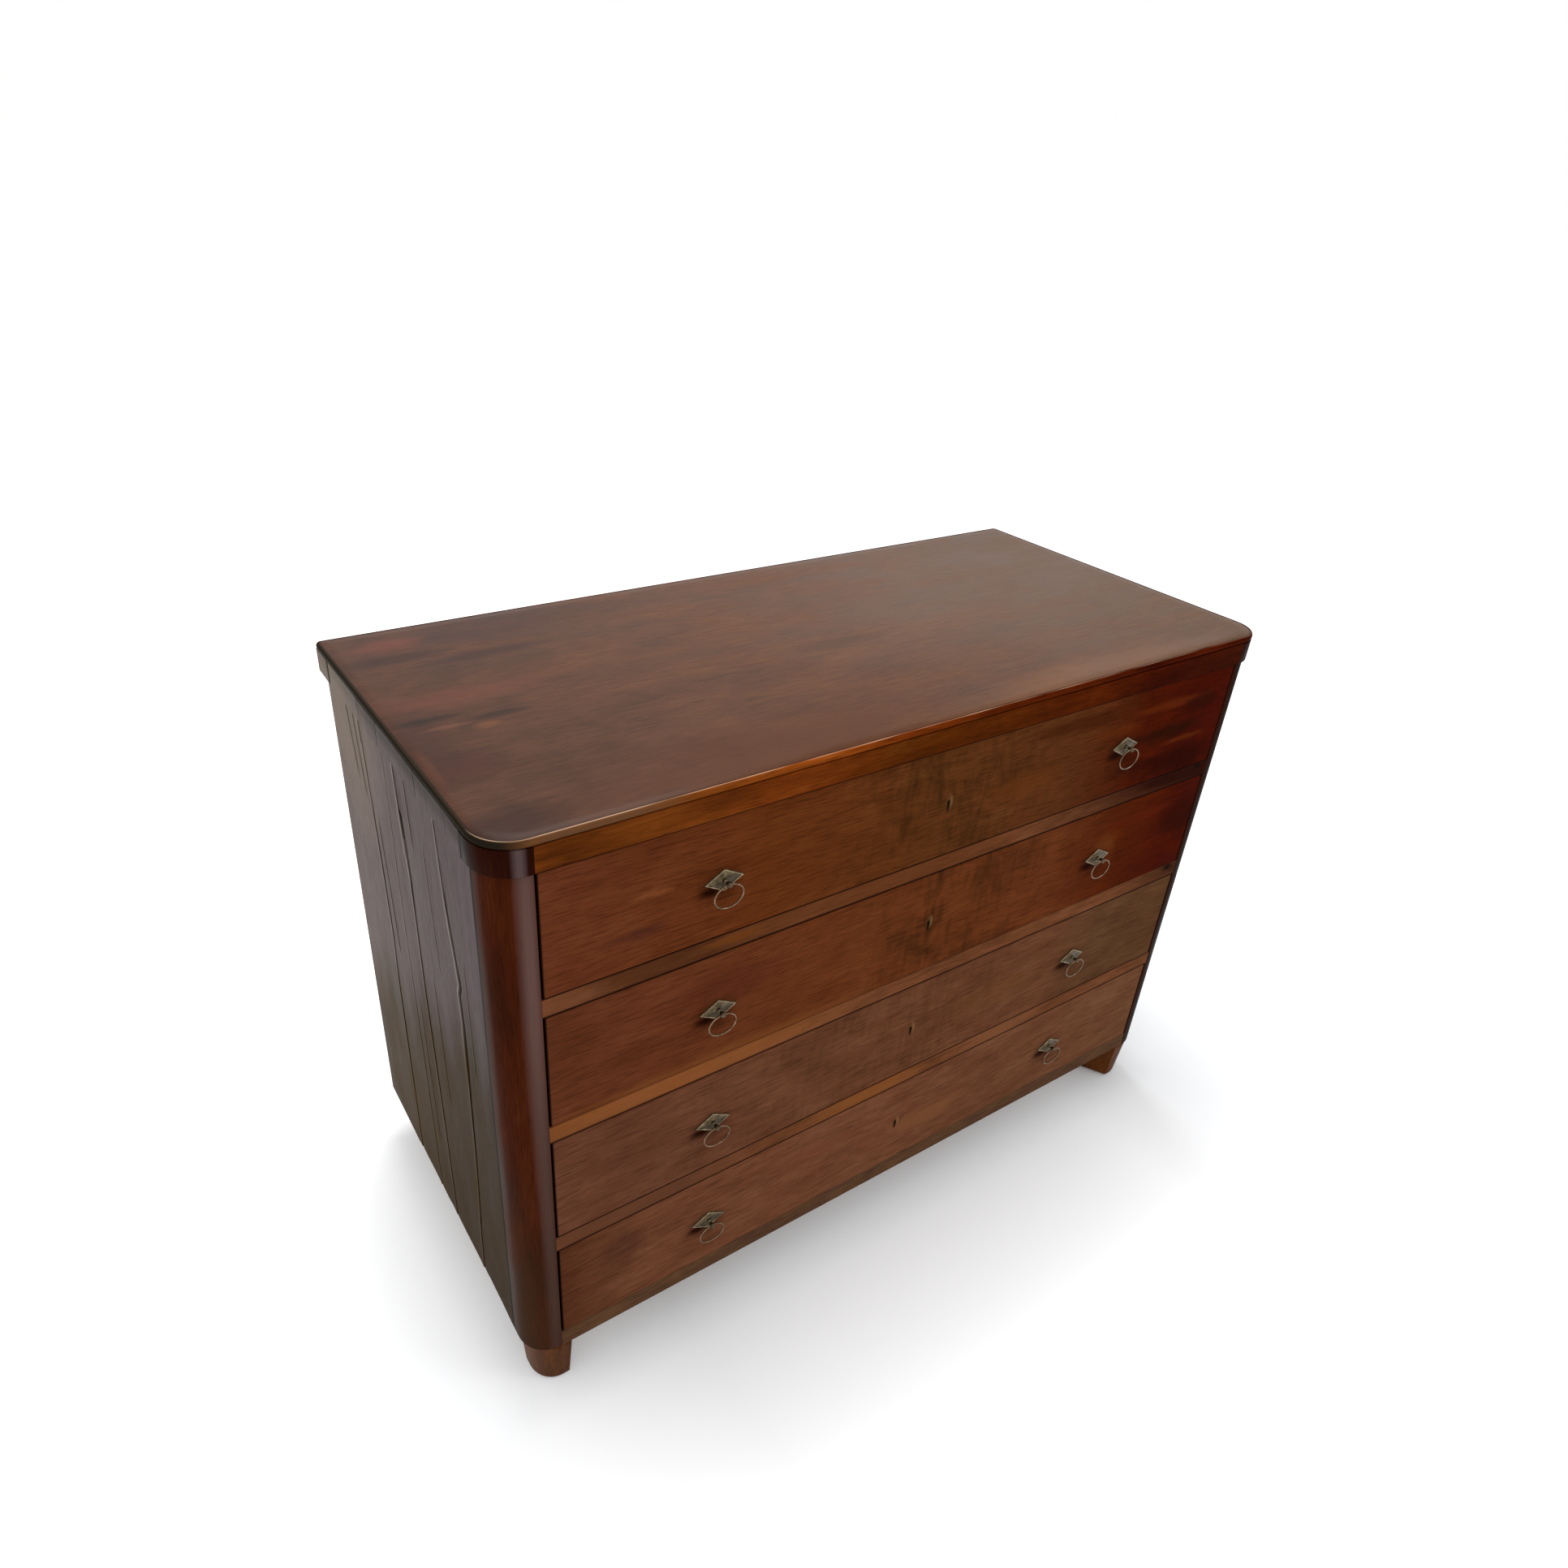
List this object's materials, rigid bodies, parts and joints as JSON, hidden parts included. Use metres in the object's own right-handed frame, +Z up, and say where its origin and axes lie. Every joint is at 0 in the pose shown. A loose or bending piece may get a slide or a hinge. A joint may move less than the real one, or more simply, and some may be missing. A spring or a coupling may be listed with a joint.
{
  "type": "bachelors chest",
  "caption": "Low chest of full-width drawers with rounded front corners, a thin top over a plain frieze, ring pulls and short feet.",
  "frame": {"origin": "on the floor under the middle of the chest's box", "axes": "+Z up, the drawers face -Y, +X along the width to the right"},
  "size_m": [1.149, 0.548, 0.826],
  "materials": {
    "carcass_pine": "planed, bare",
    "drawer_1_veneer": "french polish, gloss",
    "drawer_2_veneer": "french polish, gloss",
    "drawer_3_veneer": "french polish, gloss",
    "drawer_4_veneer": "french polish, gloss",
    "drawer_oak": "planed, waxed",
    "ebonised_wood": "ebonised, gloss",
    "foot_wood": "french polish, gloss",
    "frieze_veneer": "french polish, gloss",
    "lock_brass": "filed, aged",
    "lock_iron": "filed, aged",
    "post_veneer": "french polish, gloss",
    "pull_brass": "cast, aged",
    "rail_veneer": "french polish, gloss",
    "ring_brass": "drawn wire, aged",
    "side_veneer": "french polish, satin",
    "top_veneer": "french polish, gloss"
  },
  "bodies": {
    "carcass": {"top_board": "top_veneer", "frieze_front": "frieze_veneer", "corner_block_left": "ebonised_wood", "corner_block_right": "ebonised_wood", "frieze_left": "frieze_veneer", "frieze_right": "frieze_veneer", "frieze_rear": "carcass_pine", "top_kickers": "carcass_pine", "corner_post_left": "post_veneer", "corner_post_right": "post_veneer", "side_boards_left": "side_veneer", "side_boards_right": "side_veneer", "rear_posts": "carcass_pine", "back_boards": "carcass_pine", "bottom_board": "carcass_pine", "drawer_rails": "rail_veneer", "bottom_rail": "rail_veneer", "rear_rails": "carcass_pine", "drawer_runners": "carcass_pine", "drawer_guides": "carcass_pine", "drawer_stops": "carcass_pine", "foot_front_left": "foot_wood", "foot_front_right": "foot_wood", "rear_feet": "foot_wood"},
    "drawer_1": {"drawer_1_front": "drawer_1_veneer", "drawer_1_sides": "drawer_oak", "drawer_1_back": "drawer_oak", "drawer_1_bottom": "drawer_oak", "drawer_1_lock": "lock_brass", "drawer_1_pull_plates": "pull_brass"},
    "lock_bolt_1": {"drawer_1_lock_bolt": "lock_iron"},
    "ring_1_left": {"drawer_1_ring_left": "ring_brass"},
    "ring_1_right": {"drawer_1_ring_right": "ring_brass"},
    "drawer_2": {"drawer_2_front": "drawer_2_veneer", "drawer_2_sides": "drawer_oak", "drawer_2_back": "drawer_oak", "drawer_2_bottom": "drawer_oak", "drawer_2_lock": "lock_brass", "drawer_2_pull_plates": "pull_brass"},
    "lock_bolt_2": {"drawer_2_lock_bolt": "lock_iron"},
    "ring_2_left": {"drawer_2_ring_left": "ring_brass"},
    "ring_2_right": {"drawer_2_ring_right": "ring_brass"},
    "drawer_3": {"drawer_3_front": "drawer_3_veneer", "drawer_3_sides": "drawer_oak", "drawer_3_back": "drawer_oak", "drawer_3_bottom": "drawer_oak", "drawer_3_lock": "lock_brass", "drawer_3_pull_plates": "pull_brass"},
    "lock_bolt_3": {"drawer_3_lock_bolt": "lock_iron"},
    "ring_3_left": {"drawer_3_ring_left": "ring_brass"},
    "ring_3_right": {"drawer_3_ring_right": "ring_brass"},
    "drawer_4": {"drawer_4_front": "drawer_4_veneer", "drawer_4_sides": "drawer_oak", "drawer_4_back": "drawer_oak", "drawer_4_bottom": "drawer_oak", "drawer_4_lock": "lock_brass", "drawer_4_pull_plates": "pull_brass"},
    "lock_bolt_4": {"drawer_4_lock_bolt": "lock_iron"},
    "ring_4_left": {"drawer_4_ring_left": "ring_brass"},
    "ring_4_right": {"drawer_4_ring_right": "ring_brass"}
  },
  "joints": [
    {"name": "drawer_1_slide", "type": "slide", "parent": "carcass", "child": "drawer_1", "axis": [0, -1, 0], "range_m": [0, 0.4]},
    {"name": "lock_bolt_1_slide", "type": "slide", "parent": "drawer_1", "child": "lock_bolt_1", "axis": [0, 0, 1], "range_m": [0, 0.008]},
    {"name": "ring_1_left_swing", "type": "hinge", "parent": "drawer_1", "child": "ring_1_left", "pos_m": [-0.317, -0.27045, 0.7089], "axis": [-1, 0, 0], "range_deg": [-20, 200]},
    {"name": "ring_1_right_swing", "type": "hinge", "parent": "drawer_1", "child": "ring_1_right", "pos_m": [0.317, -0.27045, 0.7089], "axis": [-1, 0, 0], "range_deg": [-20, 200]},
    {"name": "drawer_2_slide", "type": "slide", "parent": "carcass", "child": "drawer_2", "axis": [0, -1, 0], "range_m": [0, 0.4]},
    {"name": "lock_bolt_2_slide", "type": "slide", "parent": "drawer_2", "child": "lock_bolt_2", "axis": [0, 0, 1], "range_m": [0, 0.008]},
    {"name": "ring_2_left_swing", "type": "hinge", "parent": "drawer_2", "child": "ring_2_left", "pos_m": [-0.317, -0.27045, 0.5314], "axis": [-1, 0, 0], "range_deg": [-20, 200]},
    {"name": "ring_2_right_swing", "type": "hinge", "parent": "drawer_2", "child": "ring_2_right", "pos_m": [0.317, -0.27045, 0.5314], "axis": [-1, 0, 0], "range_deg": [-20, 200]},
    {"name": "drawer_3_slide", "type": "slide", "parent": "carcass", "child": "drawer_3", "axis": [0, -1, 0], "range_m": [0, 0.4]},
    {"name": "lock_bolt_3_slide", "type": "slide", "parent": "drawer_3", "child": "lock_bolt_3", "axis": [0, 0, 1], "range_m": [0, 0.008]},
    {"name": "ring_3_left_swing", "type": "hinge", "parent": "drawer_3", "child": "ring_3_left", "pos_m": [-0.317, -0.27045, 0.3524], "axis": [-1, 0, 0], "range_deg": [-20, 200]},
    {"name": "ring_3_right_swing", "type": "hinge", "parent": "drawer_3", "child": "ring_3_right", "pos_m": [0.317, -0.27045, 0.3524], "axis": [-1, 0, 0], "range_deg": [-20, 200]},
    {"name": "drawer_4_slide", "type": "slide", "parent": "carcass", "child": "drawer_4", "axis": [0, -1, 0], "range_m": [0, 0.4]},
    {"name": "lock_bolt_4_slide", "type": "slide", "parent": "drawer_4", "child": "lock_bolt_4", "axis": [0, 0, 1], "range_m": [0, 0.008]},
    {"name": "ring_4_left_swing", "type": "hinge", "parent": "drawer_4", "child": "ring_4_left", "pos_m": [-0.317, -0.27045, 0.1739], "axis": [-1, 0, 0], "range_deg": [-20, 200]},
    {"name": "ring_4_right_swing", "type": "hinge", "parent": "drawer_4", "child": "ring_4_right", "pos_m": [0.317, -0.27045, 0.1739], "axis": [-1, 0, 0], "range_deg": [-20, 200]}
  ]
}
